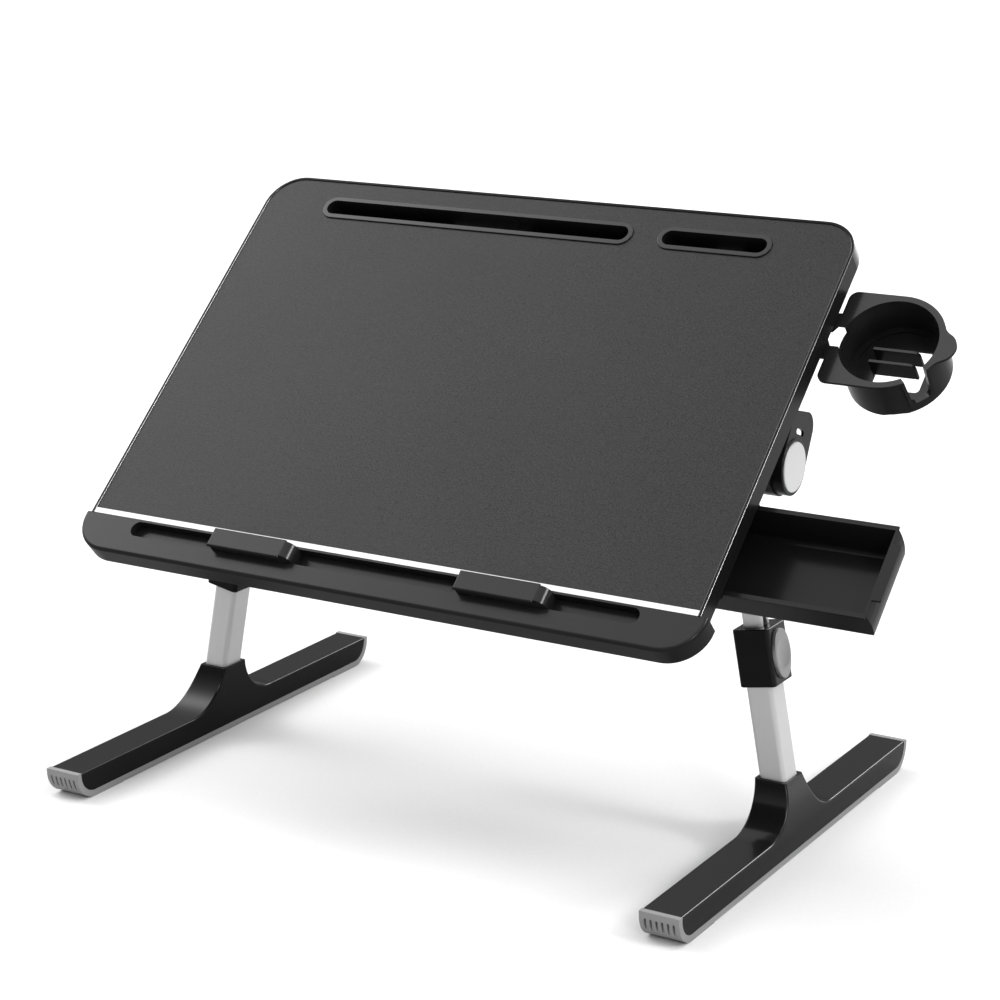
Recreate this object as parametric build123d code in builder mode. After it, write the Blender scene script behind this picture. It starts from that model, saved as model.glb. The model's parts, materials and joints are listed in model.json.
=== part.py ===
"""Laptop bed table: a tilting top with ledge, slots, drawer and cup holder on two folding legs.

Units are millimetres. The floor is Z = 0, +X is the user's right, +Y points away from the user.
Pieces of the top are drawn flat, with the tilt axis as origin, and laid on the tilted plane.
Leg pieces are drawn on the right-hand leg and mirrored for the left-hand one.
"""

import os
from math import cos, radians, sin, sqrt, tan

from build123d import *

os.makedirs("parts", exist_ok=True)

# Fits shared by all pieces
overrun = 2.0
running_fit = 0.05
seat_fit = 0.1
slide_fit = 0.3

# Stance of the whole table
table_width = 600.0
table_depth = 432.0
tilt_angle = 41.6
leg_splay = 10.6
axis_height = 333.0
axis_drop = 54.0
hinge_spare_share = 0.2515
hinge_inset = 59.0

# Board, skin and edge band
panel_thickness = 17.0
skin_thickness = 0.8
band_thickness = 3.0
bead_rise = 0.8
bead_round = 0.7
corner_radius = 34.0

# Front ledge, pen groove and accent strip
ledge_depth = 36.0
ledge_overhang = 6.0
ledge_corner = 34.0
ledge_drop = 2.0
ledge_edge_round = 3.0
tongue_reach = 22.0
tongue_thickness = 3.0
tongue_inset = 9.0
tongue_rib_width = 6.0
tongue_rib_height = 3.0
groove_end_margin = 56.0
groove_width = 15.0
groove_depth = 9.0
groove_front_margin = 19.0
strip_width = 5.0
strip_proud = 0.3

# Sliding stoppers
stopper_length = 84.0
stopper_rise = 10.0
stopper_lip = 1.5
stopper_lip_thickness = 2.6
left_stopper_margin = 91.0
right_stopper_margin = 79.0
stopper_round = 1.2

# Slot trays
tablet_slot_length = 326.0
tablet_spare_share = 0.404
phone_slot_length = 108.0
phone_spare_share = 0.446
slot_width = 25.0
slot_back_margin = 33.0
slot_rim = 2.5
slot_rim_rise = 1.2
slot_wall = 2.0
tray_drop = 14.0
cable_slit_width = 4.0
cable_slit_share = 0.25

# Hinge bracket
flange_length = 66.0
flange_width = 74.0
flange_layer = 4.0
flange_step = 2.5
flange_corner = 4.0
drum_radius = 25.5
drum_wall = 2.5
drum_length = 24.0
drum_offset = 22.0
cradle_radius = 22.5
cradle_offset = 14.0
cradle_lip = 2.0
flange_offset = 20.0
gusset_thickness = 2.4
gusset_reach = 8.0
gusset_drop = 13.0
gusset_shares = (-0.5, 0.5)

# Tilt bush, lock gear, spring, button and its cap
bush_wall = 2.9
hub_length = 12.0
hub_recess_radius = 12.0
hub_recess_depth = 11.0
cap_radius = 24.0
cap_length = 10.0
cap_wall = 2.7
cap_round = 0.8
ear_reach = 36.0
ear_rise = 4.0
ear_radius = 14.0
ear_thickness = 2.4
ear_slot_radius = 29.5
ear_slot_width = 5.0
ear_slot_start = 14.0
ear_slot_turn = 20.0
ear_root_reach = 30.0
ear_root_rise = 24.0
ear_root_radius = 8.0
button_thickness = 6.0
button_proud = 1.2
button_round = 1.0
button_press = 3.0
button_stem_radius = 7.0
gear_thickness = 5.0
gear_radius = 18.0
gear_tooth_height = 2.2
gear_teeth = 24
gear_gap = 2.0
spring_radius = 10.5
spring_wire = 1.5
spring_length = 12.0

# Hinge core, fold bolt and nut
cheek_radius = 14.0
cheek_depth = 17.0
tongue_half = 8.0
tongue_radius = 13.0
tongue_arm_half = 9.0
tongue_side_fit = 0.3
tongue_end_fit = 0.5
core_pocket_width = 5.0
core_pocket_depth = 2.5
core_pocket_height = 7.0
core_rib = 2.0
bolt_radius = 3.0
bolt_head_radius = 5.0
bolt_head_height = 3.6
bolt_head_round = 1.2
bolt_socket_radius = 2.0
bolt_socket_depth = 2.2
nut_across = 9.0
nut_height = 3.4

# Leg tubes, measured along the leg from the fold bolt
sleeve_start = 18.0
sleeve_end = 36.0
sleeve_width = 22.0
sleeve_depth = 28.0
sleeve_round = 3.0
inner_width = 17.0
inner_depth = 20.0
inner_start = 21.0
inner_end = 190.0
outer_width = 24.0
outer_depth = 27.0
tube_wall = 1.5
tube_round = 4.0
glide_length = 40.0
lock_slot_width = 6.6
lock_notch_radius = 4.2
lock_notch_pitch = 25.5
lock_notch_count = 5

# Collar with its height button
collar_start = 142.0
collar_length = 50.0
collar_lid = 4.0
collar_inner_side = 15.0
collar_outer_side = 18.5
collar_depth = 36.0
collar_round = 4.0
collar_edge_round = 1.2
height_button_length = 43.0
height_button_width = 29.0
height_button_pocket = 4.5
height_button_press = 2.5
height_button_proud = 3.0
height_button_round = 1.0
height_dish_depth = 1.4
height_dish_radius = 55.0
lock_pin_radius = 2.5
lock_pin_reach = 6.0

# Foot
foot_length = 461.0
foot_width = 35.2
foot_height = 26.6
foot_outset = 6.46
foot_end_radius = 24.0
sole_thickness = 6.0
sole_end = 5.5
sole_pad_length = 62.0
sole_recess = 1.0
stem_height = 64.0
stem_width = 29.0
stem_depth = 34.0
stem_flare = 46.0
stem_waist_share = 0.55
foot_edge_round = 1.8
socket_depth = 26.0
socket_floor = 0.4
grip_count = 6
grip_width = 2.0
grip_depth = 1.6
grip_low = 8.0
grip_high = 21.0

# Drawer and runners
drawer_length = 206.0
drawer_width = 81.5
drawer_height = 36.5
drawer_wall = 1.8
drawer_draft = 3.0
drawer_round = 6.0
drawer_bulge = 1.2
drawer_bulge_share = 0.55
drawer_toe = -3.0
drawer_front_margin = 73.7
drawer_headroom = 6.5
drawer_open = 120.3
drawer_inset = 4.0
drawer_rim_width = 2.2
drawer_rim_thickness = 2.0
pull_length = 52.0
pull_reach = 7.5
pull_corner = 1.5
runner_wall = 2.0
runner_lip = 1.9
runner_foot = 16.0
runner_length = 206.0

# Cup holder and its guide
cup_reach = 49.2
cup_spare_share = 0.4955
cup_radius = 44.4
cup_wall = 2.4
cup_height = 42.0
cup_plate = 2.6
cup_headroom = 5.0
cup_plate_half = 47.5
cup_plate_corner = 8.0
cup_gap = 0.5
cup_lobe_radius = 15.0
cup_lobe_reach = 43.0
cup_lobe_blend = 16.0
cup_step_depth = 34.0
cup_step = 5.4
cup_floor_rise = 4.0
cup_floor_length = 43.0
cup_floor_width = 42.5
cup_floor_aside = 3.5
cup_floor_forward = 1.8
cup_floor_corner = 4.0
cup_blade_gap = 13.0
cup_blade_wall = 2.4
cup_blade_height = 17.5
cup_blade_length = 40.5
cup_blade_round = 5.0
cup_notch_width = 20.0
cup_notch_foot = 17.0
cup_notch_depth = 31.0
cup_notch_round = 5.0
cup_notch_border = 2.6
cup_notch_proud = 1.8
cup_notch_angle = -44.0
cup_key_count = 3
cup_key_angle = -76.0
cup_key_width = 26.0
cup_key_depth = 1.2
arm_length = 136.0
arm_width = 18.6
arm_spread = 28.0
hook_notch_radius = 12.5
hook_notch_depth = 9.0
guide_length = 138.0
guide_inset = 102.0
guide_plate = 2.0
guide_wall = 2.4
guide_lip = 4.0
guide_rib_width = 4.0
guide_rib_height = 3.6

# Screws
screw_radius = 2.6
screw_height = 1.6
screw_slot_width = 0.9
screw_slot_depth = 0.7
screw_margin = 4.0
bracket_screw_shares = (-1, 0, 1)
runner_screw_shares = (0.1, 0.5, 0.9)
guide_screw_shares = (0.1, 0.9)
ledge_screw_shares = (-0.9, -0.45, 0, 0.45, 0.9)
tray_screw_shares = (-0.38, 0.38)

# Derived levels and places on the top, from the tilt axis
drawer_edge = drawer_front_margin + drawer_width + drawer_rim_width + slide_fit + runner_wall
guide_half = arm_spread / 2 + arm_width / 2 + slide_fit
guide_width = 2 * (guide_half + guide_wall + 2 * screw_margin)
slot_edge = slot_back_margin + slot_width / 2
spare_depth = table_depth - drawer_edge - flange_width - guide_width - slot_edge
axis_setback = drawer_edge + hinge_spare_share * spare_depth + flange_width / 2
spare_width = table_width - tablet_slot_length - phone_slot_length
top_face = axis_drop
underside = axis_drop - panel_thickness
front_edge = -axis_setback
back_edge = table_depth - axis_setback
ledge_back = front_edge + ledge_depth
board_back = back_edge - band_thickness
board_half = table_width / 2 - band_thickness
board_top = top_face - skin_thickness
skin_front = ledge_back + strip_width
slot_y = back_edge - slot_back_margin
groove_y = front_edge + groove_front_margin + groove_width / 2
groove_length = table_width + 2 * (ledge_overhang - groove_end_margin)
left_stopper_x = left_stopper_margin + stopper_length / 2 - groove_length / 2
right_stopper_x = groove_length / 2 - right_stopper_margin - stopper_length / 2
tablet_slot_x = tablet_spare_share * spare_width + tablet_slot_length / 2 - table_width / 2
phone_slot_x = table_width / 2 - phone_spare_share * spare_width - phone_slot_length / 2
pin_x = table_width / 2 - hinge_inset
drum_start = pin_x + drum_offset
drum_end = drum_start + drum_length
cradle_start = pin_x - cradle_offset
bush_outer = drum_radius - drum_wall - running_fit
drawer_back_end = table_width / 2 - drawer_inset - drawer_length + drawer_open
drawer_end = drawer_back_end + drawer_length
drawer_top = underside - drawer_headroom
drawer_y = front_edge + drawer_front_margin + drawer_width / 2
cup_x = table_width / 2 + cup_reach
cup_y = flange_width / 2 + cup_spare_share * spare_depth + guide_width / 2
guide_start = table_width / 2 - guide_inset - guide_length
cup_top = underside - cup_headroom
lean = tan(radians(leg_splay))
stem_x = pin_x + (axis_height - stem_height) * lean
foot_x = stem_x + foot_outset
foot_outer = foot_x + foot_width / 2
outer_end = (axis_height - stem_height) / cos(radians(leg_splay)) + socket_depth
middle_x = (drawer_end + pull_reach - foot_outer) / 2

# Frames: the tilted top, the level hinge line, the splayed right-hand leg and the floor
table = Plane(
    origin=(-middle_x, 0, axis_height),
    x_dir=(1, 0, 0),
    z_dir=(0, -sin(radians(tilt_angle)), cos(radians(tilt_angle))),
)
hub = Plane(origin=(-middle_x, 0, axis_height))
leg = Plane(
    origin=(pin_x - middle_x, 0, axis_height),
    x_dir=(cos(radians(leg_splay)), 0, sin(radians(leg_splay))),
    z_dir=(-sin(radians(leg_splay)), 0, cos(radians(leg_splay))),
)
stand = Plane(origin=(-middle_x, 0, 0))
middle = Plane.YZ.offset(-middle_x)


def save(piece, name, frame):
    """Lay a finished piece on its frame, label it and write its file."""
    placed = frame.location * piece.part
    placed.label = name
    export_step(placed, f"parts/{name}.step")


def save_pair(piece, name, frame):
    """Write the right-hand piece and its mirror image on the left."""
    save(piece, f"right_{name}", frame)
    other = mirror(frame.location * piece.part, about=middle)
    other.label = f"left_{name}"
    export_step(other, f"parts/left_{name}.step")


# Board: the stiff core of the top, with two slots near its back edge
def board_outline(front, half, back, radius):
    """Outline of the top with only its two back corners rounded."""
    with BuildSketch() as outline:
        with Locations((0, (front + back) / 2)):
            Rectangle(2 * half, back - front)
        fillet(outline.vertices().group_by(Axis.Y)[-1], radius)
    return outline.sketch


def slot_outlines(margin):
    """Both slots near the back edge, widened or narrowed by a margin."""
    with BuildSketch() as slots:
        with Locations((tablet_slot_x, slot_y)):
            SlotOverall(tablet_slot_length + 2 * margin, slot_width + 2 * margin)
        with Locations((phone_slot_x, slot_y)):
            SlotOverall(phone_slot_length + 2 * margin, slot_width + 2 * margin)
    return slots.sketch


with BuildPart() as top_panel:
    with BuildSketch(Plane.XY.offset(underside)):
        add(board_outline(ledge_back, board_half, board_back, corner_radius - band_thickness))
        add(slot_outlines(seat_fit - slot_rim), mode=Mode.SUBTRACT)
    extrude(amount=panel_thickness - skin_thickness)
save(top_panel, "top_panel", table)

# Skin: the grained sheet bonded to the board
with BuildPart() as top_skin:
    with BuildSketch(Plane.XY.offset(board_top)):
        add(board_outline(skin_front, board_half, board_back, corner_radius - band_thickness))
        add(slot_outlines(seat_fit - slot_rim), mode=Mode.SUBTRACT)
    extrude(amount=skin_thickness)
save(top_skin, "top_skin", table)

# Edge band: round the sides and the back, with a raised bead
with BuildPart() as edge_band:
    with BuildSketch(Plane.XY.offset(underside)):
        add(board_outline(ledge_back, table_width / 2, back_edge, corner_radius))
        add(
            board_outline(ledge_back, board_half, board_back, corner_radius - band_thickness),
            mode=Mode.SUBTRACT,
        )
    extrude(amount=panel_thickness + bead_rise)
    bead = edge_band.faces().sort_by(Axis.Z)[-1]
    fillet(bead.edges().filter_by(lambda edge: edge.length > 2 * band_thickness), bead_round)
save(edge_band, "edge_band", table)

# Accent strip: the pale inlay between the ledge and the skin
with BuildPart() as accent_strip:
    with BuildSketch(Plane.XY.offset(board_top)):
        with Locations((0, ledge_back + strip_width / 2)):
            Rectangle(2 * board_half, strip_width)
    extrude(amount=skin_thickness + strip_proud)
save(accent_strip, "accent_strip", table)

# Front ledge: moulded nosing with the pen groove, and a tongue under the board
with BuildPart() as front_ledge:
    with BuildSketch(Plane.XY.offset(underside - ledge_drop)) as nose:
        with Locations((0, (front_edge + ledge_back) / 2)):
            Rectangle(table_width + 2 * ledge_overhang, ledge_depth)
        fillet(nose.vertices().group_by(Axis.Y)[0], min(ledge_corner, ledge_depth - overrun))
    extrude(amount=panel_thickness + ledge_drop)
    nose_edges = front_ledge.edges().filter_by_position(Axis.Y, front_edge - overrun, ledge_back - seat_fit)
    fillet(nose_edges.group_by(Axis.Z)[-1], ledge_edge_round)
    with BuildSketch(Plane.XY.offset(underside - tongue_thickness)):
        with Locations((0, ledge_back + (tongue_reach - ledge_edge_round) / 2)):
            Rectangle(table_width - 2 * tongue_inset, tongue_reach + ledge_edge_round)
    extrude(amount=tongue_thickness)
    with BuildSketch(Plane.XY.offset(underside - tongue_thickness - tongue_rib_height)):
        with Locations((0, ledge_back + tongue_reach - tongue_rib_width / 2)):
            Rectangle(table_width - 2 * tongue_inset, tongue_rib_width)
    extrude(amount=tongue_rib_height)
    with BuildSketch(Plane.XY.offset(top_face - groove_depth)):
        with Locations((0, groove_y)):
            SlotOverall(groove_length, groove_width)
    extrude(amount=groove_depth + overrun, mode=Mode.SUBTRACT)
save(front_ledge, "front_ledge", table)


# Stoppers: blocks that slide along the pen groove, with a ramp at their right-hand end
def stopper(centre_x):
    """One stopper, its foot in the groove and its lip on the ledge."""
    foot_width_here = groove_width - 2 * slide_fit
    with BuildPart() as block:
        with BuildSketch(Plane.XZ.offset(-groove_y - foot_width_here / 2)):
            with BuildLine():
                Polyline(
                    (centre_x + stopper_length / 2, top_face - groove_depth + slide_fit),
                    (centre_x - stopper_length / 2, top_face - groove_depth + slide_fit),
                    (centre_x - stopper_length / 2, top_face + stopper_rise),
                    (centre_x + stopper_length / 2 - stopper_rise, top_face + stopper_rise),
                )
                RadiusArc(
                    (centre_x + stopper_length / 2 - stopper_rise, top_face + stopper_rise),
                    (centre_x + stopper_length / 2, top_face),
                    stopper_rise,
                )
                Line(
                    (centre_x + stopper_length / 2, top_face),
                    (centre_x + stopper_length / 2, top_face - groove_depth + slide_fit),
                )
            make_face()
        extrude(amount=foot_width_here)
        with BuildSketch(Plane.XY.offset(top_face + stopper_rise - stopper_lip_thickness)):
            with Locations((centre_x - stopper_rise / 2, groove_y)):
                Rectangle(stopper_length - stopper_rise, groove_width + 2 * stopper_lip)
        extrude(amount=stopper_lip_thickness)
        fillet(block.faces().sort_by(Axis.Z)[-1].edges(), stopper_round)
    return block


save(stopper(left_stopper_x), "left_stopper", table)
save(stopper(right_stopper_x), "right_stopper", table)


# Slot trays: moulded troughs that hang in the slots by their rims
def slot_tray(centre_x, length):
    """One trough with a rim on the skin and a cable slit in its floor."""
    with BuildPart() as tray:
        with BuildSketch(Plane.XY.offset(underside - tray_drop)):
            with Locations((centre_x, slot_y)):
                SlotOverall(length - 2 * slot_rim, slot_width - 2 * slot_rim)
        extrude(amount=panel_thickness + tray_drop)
        with BuildSketch(Plane.XY.offset(top_face)):
            with Locations((centre_x, slot_y)):
                SlotOverall(length, slot_width)
        extrude(amount=slot_rim_rise)
        fillet(tray.faces().sort_by(Axis.Z)[-1].edges(), slot_rim_rise / 2)
        inside = slot_rim + slot_wall
        with BuildSketch(Plane.XY.offset(underside - tray_drop + slot_wall)):
            with Locations((centre_x, slot_y)):
                SlotOverall(length - 2 * inside, slot_width - 2 * inside)
        extrude(amount=panel_thickness + tray_drop + overrun, mode=Mode.SUBTRACT)
        with BuildSketch(Plane.XY.offset(underside - tray_drop - overrun)):
            with Locations((centre_x, slot_y)):
                SlotOverall(length * cable_slit_share, cable_slit_width)
        extrude(amount=slot_wall + 2 * overrun, mode=Mode.SUBTRACT)
    return tray


save(slot_tray(tablet_slot_x, tablet_slot_length), "tablet_slot_tray", table)
save(slot_tray(phone_slot_x, phone_slot_length), "phone_slot_tray", table)

# Hinge bracket: a screwed flange, a saddle and the drum that holds the tilt bush
flange_x = pin_x - flange_offset + flange_length / 2
screw_inset = flange_step + screw_radius + seat_fit
with BuildPart() as hinge_bracket:
    with BuildSketch(Plane.XY.offset(underside - flange_layer)):
        with Locations((flange_x, 0)):
            RectangleRounded(flange_length, flange_width, flange_corner)
    extrude(amount=flange_layer)
    with BuildSketch(Plane.XY.offset(underside - 2 * flange_layer)):
        with Locations((flange_x, 0)):
            RectangleRounded(flange_length - 2 * flange_step, flange_width - 2 * flange_step, flange_corner)
    extrude(amount=flange_layer)
    with BuildSketch(Plane.YZ.offset(cradle_start)):
        Circle(drum_radius)
        with Locations((0, underside / 2)):
            Rectangle(2 * drum_radius, underside)
    extrude(amount=drum_end - cradle_start)
    with BuildSketch(Plane.YZ.offset(drum_start - overrun)):
        Circle(bush_outer + running_fit)
    extrude(amount=drum_length + 2 * overrun, mode=Mode.SUBTRACT)
    with BuildSketch(Plane.YZ.offset(cradle_start - overrun)):
        Circle(cradle_radius)
        with Locations((0, cradle_lip / 2 - drum_radius)):
            Rectangle(2 * (drum_radius + overrun), 2 * drum_radius + cradle_lip)
    extrude(amount=drum_start - cradle_start + overrun, mode=Mode.SUBTRACT)
    gusset_top = underside - 2 * flange_layer
    gusset_root = drum_radius - gusset_thickness / 2
    for share in gusset_shares:
        gusset_x = flange_x + share * (flange_length / 2 - screw_inset - flange_step)
        for side in (1, -1):
            with BuildSketch(Plane.YZ.offset(gusset_x)):
                with BuildLine():
                    Polyline(
                        (side * gusset_root, gusset_top),
                        (side * (drum_radius + gusset_reach), gusset_top),
                        (side * drum_radius, gusset_top - gusset_drop),
                        (side * gusset_root, gusset_top - gusset_drop),
                        close=True,
                    )
                make_face()
            extrude(amount=gusset_thickness / 2, both=True)
save_pair(hinge_bracket, "hinge_bracket", table)

# Tilt bush: the sleeve between the drum and the turning hub
with BuildPart() as tilt_bush:
    with BuildSketch(Plane.YZ.offset(drum_start + slide_fit)):
        Circle(bush_outer)
        Circle(bush_outer - bush_wall, mode=Mode.SUBTRACT)
    extrude(amount=drum_length - 2 * slide_fit)
save_pair(tilt_bush, "tilt_bush", hub)

# Hinge core: the hub that turns in the bush and the clevis that carries the fold bolt
hub_radius = bush_outer - bush_wall - running_fit
hub_end = drum_start + hub_length
pocket_pitch = core_pocket_width + core_rib
with BuildPart() as hinge_core:
    with BuildSketch(Plane.YZ.offset(drum_start)):
        Circle(hub_radius)
    extrude(amount=hub_length)
    with BuildSketch(Plane.XZ):
        with Locations((pin_x, 0)):
            Circle(cheek_radius)
        with Locations((pin_x + drum_offset / 2, 0)):
            Rectangle(drum_offset, 2 * cheek_radius)
    extrude(amount=cheek_depth, both=True)
    with BuildSketch(Plane.XZ):
        slot_reach = cheek_radius + tongue_radius + tongue_end_fit + overrun
        with Locations((pin_x + tongue_radius + tongue_end_fit - slot_reach / 2, 0)):
            Rectangle(slot_reach, 2 * (cheek_radius + overrun))
    extrude(amount=tongue_half + tongue_side_fit, both=True, mode=Mode.SUBTRACT)
    with BuildSketch(Plane.XZ):
        with Locations((pin_x, 0)):
            Circle(bolt_radius + running_fit)
    extrude(amount=cheek_depth + overrun, both=True, mode=Mode.SUBTRACT)
    for side in (1, -1):
        with BuildSketch(Plane.XZ.offset(-side * cheek_depth)):
            with Locations((pin_x + drum_offset / 2, cheek_radius - core_pocket_height / 2)):
                with GridLocations(pocket_pitch, core_pocket_height, 3, 1):
                    Rectangle(core_pocket_width, core_pocket_height)
        extrude(amount=side * core_pocket_depth, mode=Mode.SUBTRACT)
    with BuildSketch(Plane.YZ.offset(hub_end)):
        Circle(hub_recess_radius)
    extrude(amount=-hub_recess_depth, mode=Mode.SUBTRACT)
save_pair(hinge_core, "hinge_core", hub)

# Fold bolt and its nut
with BuildPart() as fold_bolt:
    with BuildSketch(Plane.XZ.offset(cheek_depth + nut_height)):
        with Locations((pin_x, 0)):
            Circle(bolt_radius)
    extrude(amount=-(2 * cheek_depth + nut_height))
    with BuildSketch(Plane.XZ.offset(-cheek_depth)):
        with Locations((pin_x, 0)):
            Circle(bolt_head_radius)
    extrude(amount=-bolt_head_height)
    fillet(fold_bolt.faces().sort_by(Axis.Y)[-1].edges(), bolt_head_round)
    with BuildSketch(Plane.XZ.offset(-cheek_depth - bolt_head_height)):
        with Locations((pin_x, 0)):
            RegularPolygon(bolt_socket_radius, 6)
    extrude(amount=bolt_socket_depth, mode=Mode.SUBTRACT)
save_pair(fold_bolt, "fold_bolt", hub)

with BuildPart() as fold_nut:
    with BuildSketch(Plane.XZ.offset(cheek_depth)):
        with Locations((pin_x, 0)):
            RegularPolygon(nut_across / 2, 6, major_radius=False)
            Circle(bolt_radius + running_fit, mode=Mode.SUBTRACT)
    extrude(amount=nut_height)
save_pair(fold_nut, "fold_nut", hub)

# Tilt cap: the ring that closes the drum, with an ear and a curved slot towards the back
cap_bore = cap_radius - cap_wall
with BuildPart() as tilt_cap:
    with BuildSketch(Plane.YZ.offset(drum_end)):
        Circle(cap_radius)
    extrude(amount=cap_length)
    fillet(tilt_cap.faces().sort_by(Axis.X)[-1].edges(), cap_round)
    with BuildSketch(Plane.YZ.offset(drum_end + cap_length - cap_round - ear_thickness)):
        Circle(cap_radius)
        with Locations((ear_reach, ear_rise)):
            Circle(ear_radius)
        with Locations((ear_root_reach, ear_root_rise)):
            Circle(ear_root_radius)
        make_hull()
        with BuildLine() as slot_line:
            CenterArc((0, 0), ear_slot_radius, ear_slot_start, ear_slot_turn)
        SlotArc(slot_line.edges()[0], ear_slot_width, mode=Mode.SUBTRACT)
    extrude(amount=ear_thickness)
    with BuildSketch(Plane.YZ.offset(drum_end - overrun)):
        Circle(cap_bore)
    extrude(amount=cap_length + 2 * overrun, mode=Mode.SUBTRACT)
save_pair(tilt_cap, "tilt_cap", table)

# Tilt button: the bare silver disc pressed in to free the tilt, with its stem
button_face = drum_end + cap_length + button_proud
gear_start = hub_end + button_press + gear_gap
with BuildPart() as tilt_button:
    with BuildSketch(Plane.YZ.offset(button_face - button_thickness)):
        Circle(cap_bore - slide_fit)
    extrude(amount=button_thickness)
    fillet(tilt_button.faces().sort_by(Axis.X)[-1].edges(), button_round)
    with BuildSketch(Plane.YZ.offset(gear_start)):
        Circle(button_stem_radius)
    extrude(amount=button_face - button_thickness - gear_start)
save_pair(tilt_button, "tilt_button", table)

# Lock gear on the button's stem, drawn clear of the hub so that the hub can turn
with BuildPart() as lock_gear:
    with BuildSketch(Plane.YZ.offset(gear_start)):
        Circle(gear_radius - gear_tooth_height)
        with PolarLocations(gear_radius - gear_tooth_height, gear_teeth):
            Rectangle(2 * gear_tooth_height, gear_tooth_height)
        Circle(button_stem_radius + seat_fit, mode=Mode.SUBTRACT)
    extrude(amount=gear_thickness)
save_pair(lock_gear, "lock_gear", table)

# Tilt spring behind the lock gear, a closed sleeve inside the hub's recess
with BuildPart() as tilt_spring:
    with BuildSketch(Plane.YZ.offset(gear_start)):
        Circle(spring_radius)
        Circle(spring_radius - spring_wire, mode=Mode.SUBTRACT)
    extrude(amount=-spring_length)
save_pair(tilt_spring, "tilt_spring", table)


# Leg tubes: rounded rectangular sections along the leg
def tube_section(width, depth, radius):
    """A rounded rectangular section across the leg."""
    with BuildSketch() as section:
        RectangleRounded(width, depth, radius)
    return section.sketch


# Knuckle: the tongue that turns on the fold bolt and the sleeve on the inner tube
with BuildPart() as knuckle:
    with BuildSketch(Plane.XZ):
        Circle(tongue_radius)
        with Locations((0, -(sleeve_start + overrun) / 2)):
            Rectangle(2 * tongue_arm_half, sleeve_start + overrun)
        Circle(bolt_radius + running_fit, mode=Mode.SUBTRACT)
    extrude(amount=tongue_half, both=True)
    with BuildSketch(Plane.XY.offset(-sleeve_start)):
        add(tube_section(sleeve_width, sleeve_depth, sleeve_round))
    extrude(amount=sleeve_start - sleeve_end)
    with BuildSketch(Plane.XY.offset(-inner_start)):
        add(tube_section(inner_width + 2 * seat_fit, inner_depth + 2 * seat_fit, tube_round - seat_fit))
    extrude(amount=inner_start - sleeve_end - overrun, mode=Mode.SUBTRACT)
save_pair(knuckle, "knuckle", leg)

# Inner tube with the notched lock slot in its outer wall
pin_level = collar_start + collar_length / 2
with BuildPart() as inner_tube:
    with BuildSketch(Plane.XY.offset(-inner_start)):
        add(tube_section(inner_width, inner_depth, tube_round - seat_fit))
        add(
            tube_section(inner_width - 2 * tube_wall, inner_depth - 2 * tube_wall, tube_round - tube_wall),
            mode=Mode.SUBTRACT,
        )
    extrude(amount=inner_start - inner_end)
    notch_run = lock_notch_pitch * (lock_notch_count - 1)
    with BuildSketch(Plane.YZ):
        with Locations((0, -pin_level + notch_run / 2)):
            Rectangle(lock_slot_width, notch_run + lock_slot_width)
            with GridLocations(lock_slot_width, lock_notch_pitch, 1, lock_notch_count):
                Circle(lock_notch_radius)
    extrude(amount=inner_width, mode=Mode.SUBTRACT)
save_pair(inner_tube, "inner_tube", leg)

# Outer tube, pierced for the lock pin near its top
outer_start = collar_start + collar_lid
with BuildPart() as outer_tube:
    with BuildSketch(Plane.XY.offset(-outer_start)):
        add(tube_section(outer_width, outer_depth, tube_round))
        add(
            tube_section(outer_width - 2 * tube_wall, outer_depth - 2 * tube_wall, tube_round - tube_wall),
            mode=Mode.SUBTRACT,
        )
    extrude(amount=outer_start - outer_end)
    with BuildSketch(Plane.YZ):
        with Locations((0, -pin_level)):
            Circle(lock_pin_radius + slide_fit)
    extrude(amount=outer_width, mode=Mode.SUBTRACT)
save_pair(outer_tube, "outer_tube", leg)

# Glide: the plastic liner between the two tubes
glide_outer_width = outer_width - 2 * tube_wall - 2 * seat_fit
glide_outer_depth = outer_depth - 2 * tube_wall - 2 * seat_fit
with BuildPart() as tube_glide:
    with BuildSketch(Plane.XY.offset(-outer_start)):
        add(tube_section(glide_outer_width, glide_outer_depth, tube_round - tube_wall))
        add(
            tube_section(inner_width + 2 * slide_fit, inner_depth + 2 * slide_fit, tube_round),
            mode=Mode.SUBTRACT,
        )
    extrude(amount=-glide_length)
    with BuildSketch(Plane.YZ):
        with Locations((0, -pin_level)):
            Circle(lock_pin_radius + slide_fit)
    extrude(amount=outer_width, mode=Mode.SUBTRACT)
save_pair(tube_glide, "tube_glide", leg)

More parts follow.
